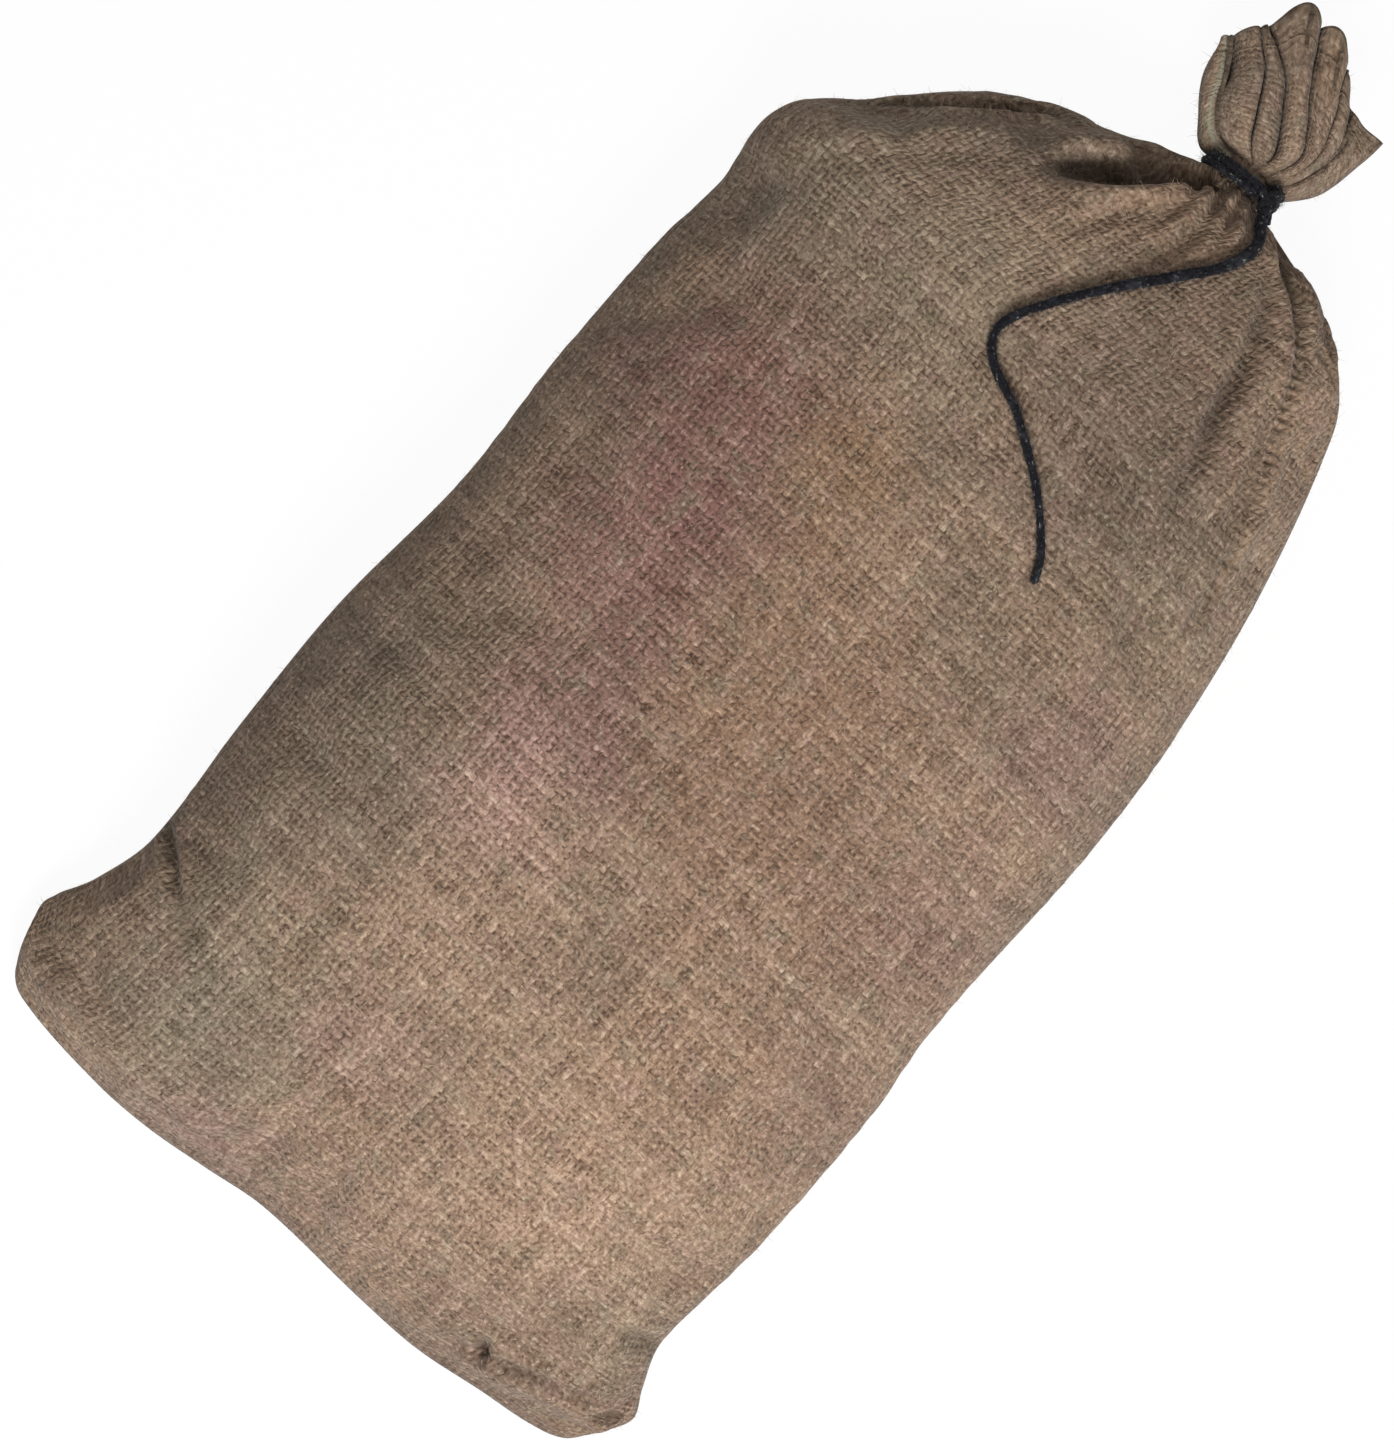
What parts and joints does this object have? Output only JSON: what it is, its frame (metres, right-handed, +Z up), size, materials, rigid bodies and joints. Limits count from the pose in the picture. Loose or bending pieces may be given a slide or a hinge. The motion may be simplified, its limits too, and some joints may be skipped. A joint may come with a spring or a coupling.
{
  "type": "sack race bag",
  "caption": "Coarse woven jute sack, stuffed plump and lying flat, gathered and tied below its mouth with a dark cord whose loose end trails over the front.",
  "frame": {"origin": "on the ground under the middle of the sack's box, without the loose cord", "axes": "+X across the sack to its right as it lies face up, +Y from the bottom seam to the mouth, +Z up from the ground"},
  "size_m": [0.5188, 1.0602, 0.15],
  "materials": {
    "hessian": "matte",
    "jute_thread": "matte",
    "black_cord": "matte",
    "packing": "matte"
  },
  "bodies": {
    "sack": {"back_panel": "hessian", "front_panel": "hessian", "left_seam_thread": "jute_thread", "right_seam_thread": "jute_thread", "bottom_seam_thread": "jute_thread", "filling": "packing", "cord_wraps": "black_cord", "cord_knot": "black_cord", "cord_tail": "black_cord"},
    "neck": {"neck_gather": "hessian"},
    "ruff": {"front_ruff": "hessian", "back_ruff": "hessian", "mouth_hem_thread": "jute_thread"}
  },
  "joints": [
    {"name": "ruff_nod", "type": "hinge", "parent": "sack", "child": "neck", "pos_m": [-0.00738, 0.41378, 0.06], "axis": [1, 0, 0], "range_deg": [-18, 40]},
    {"name": "ruff_sway", "type": "hinge", "parent": "neck", "child": "ruff", "pos_m": [-0.00738, 0.43578, 0.06], "axis": [0, 0, 1], "range_deg": [-30, 25]}
  ]
}
